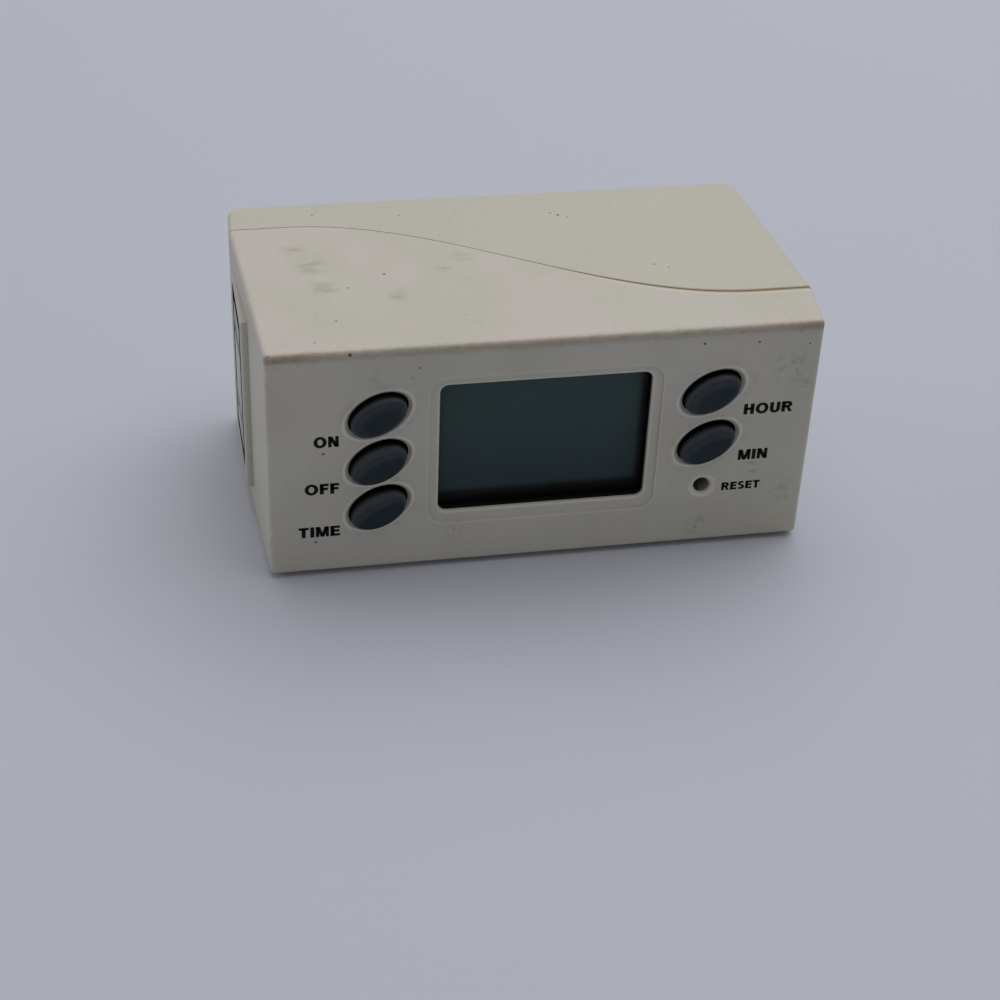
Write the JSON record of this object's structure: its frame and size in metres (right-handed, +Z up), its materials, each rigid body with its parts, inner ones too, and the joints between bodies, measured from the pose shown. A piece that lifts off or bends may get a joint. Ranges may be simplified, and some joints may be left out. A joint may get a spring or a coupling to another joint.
{
  "type": "digital plug-in timer",
  "caption": "Boxy plug-in timer with a sunken clock display, tilted oval keys, a reset hole, an outlet in one end and plug blades on its back.",
  "frame": {"origin": "middle of the base face's footprint, halfway across the case's width and depth", "axes": "+X to the right as one faces the display, +Y from the display to the plug blades, +Z up"},
  "size_m": [0.0828, 0.0618, 0.0379],
  "materials": {
    "case_plastic": "fine satin, warm grey-beige",
    "screw_steel": "zinc plated",
    "lens_clear": "clear, polished",
    "bezel_black": "satin black",
    "polariser_film": "grey film",
    "display_glass": "polished",
    "reflector_film": "silvery grey-green film",
    "contact_rubber": "banded, matt",
    "circuit_board": "green solder mask",
    "chip_resin": "glossy resin drop",
    "crystal_steel": "bright can",
    "chip_ceramic": "sintered",
    "cell_steel": "plain can",
    "nickel_strip": "nickel strip",
    "key_plastic": "satin dark slate",
    "plunger_plastic": "matt black",
    "switch_plastic": "moulded black",
    "reset_plastic": "matt brown-black",
    "ring_black": "satin black",
    "insert_white": "satin white",
    "block_plastic": "matt ivory",
    "contact_brass": "bent sheet",
    "blade_nickel": "nickel plated",
    "carrier_plastic": "matt black",
    "relay_black": "moulded base",
    "relay_blue": "moulded cover",
    "film_yellow": "moulded box",
    "can_sleeve": "sleeved can",
    "rectifier_black": "moulded",
    "resistor_body": "painted body",
    "transistor_black": "moulded",
    "fuse_body": "glazed tube",
    "varistor_blue": "dipped disc",
    "cable_grey": "flat cable",
    "wire_black": "insulation",
    "wire_white": "insulation"
  },
  "bodies": {
    "case": {"front_shell": "case_plastic", "rear_shell": "case_plastic", "case_screws": "screw_steel", "lcd_lens": "lens_clear", "lcd_bezel": "bezel_black", "lcd_front_polariser": "polariser_film", "lcd_front_glass": "display_glass", "lcd_rear_glass": "display_glass", "lcd_reflector": "reflector_film", "contact_strips": "contact_rubber", "control_board": "circuit_board", "control_board_screws": "screw_steel", "chip_blob": "chip_resin", "clock_crystal": "crystal_steel", "board_chips": "chip_ceramic", "backup_cell": "cell_steel", "cell_tabs": "nickel_strip", "key_switches": "switch_plastic", "reset_switch": "switch_plastic", "outlet_ring": "ring_black", "outlet_face": "insert_white", "outlet_block": "block_plastic", "outlet_contact_neutral": "contact_brass", "outlet_contact_line": "contact_brass", "blade_neutral": "blade_nickel", "blade_line": "blade_nickel", "blade_carrier": "carrier_plastic", "power_board": "circuit_board", "power_board_screws": "screw_steel", "relay_base": "relay_black", "relay_cover": "relay_blue", "film_capacitor": "film_yellow", "smoothing_capacitors": "can_sleeve", "rectifier": "rectifier_black", "resistor": "resistor_body", "relay_transistor": "transistor_black", "fuse": "fuse_body", "varistor": "varistor_blue", "link_cable": "cable_grey", "line_wires": "wire_black", "neutral_wires": "wire_white"},
    "key_on": {"button_on": "key_plastic", "switch_plunger_on": "plunger_plastic"},
    "key_off": {"button_off": "key_plastic", "switch_plunger_off": "plunger_plastic"},
    "key_time": {"button_time": "key_plastic", "switch_plunger_time": "plunger_plastic"},
    "key_hour": {"button_hour": "key_plastic", "switch_plunger_hour": "plunger_plastic"},
    "key_min": {"button_min": "key_plastic", "switch_plunger_min": "plunger_plastic"},
    "reset_pin": {"reset_plunger": "reset_plastic"}
  },
  "joints": [
    {"name": "press_on", "type": "slide", "parent": "case", "child": "key_on", "axis": [0, 1, 0], "range_m": [0, 0.0006], "stiffness_N_per_m": 1500, "springref_m": -0.0004},
    {"name": "press_off", "type": "slide", "parent": "case", "child": "key_off", "axis": [0, 1, 0], "range_m": [0, 0.0006], "stiffness_N_per_m": 1500, "springref_m": -0.0004},
    {"name": "press_time", "type": "slide", "parent": "case", "child": "key_time", "axis": [0, 1, 0], "range_m": [0, 0.0006], "stiffness_N_per_m": 1500, "springref_m": -0.0004},
    {"name": "press_hour", "type": "slide", "parent": "case", "child": "key_hour", "axis": [0, 1, 0], "range_m": [0, 0.0006], "stiffness_N_per_m": 1500, "springref_m": -0.0004},
    {"name": "press_min", "type": "slide", "parent": "case", "child": "key_min", "axis": [0, 1, 0], "range_m": [0, 0.0006], "stiffness_N_per_m": 1500, "springref_m": -0.0004},
    {"name": "press_reset", "type": "slide", "parent": "case", "child": "reset_pin", "axis": [0, 1, 0], "range_m": [0, 0.0003], "stiffness_N_per_m": 1500, "springref_m": -0.0004}
  ]
}
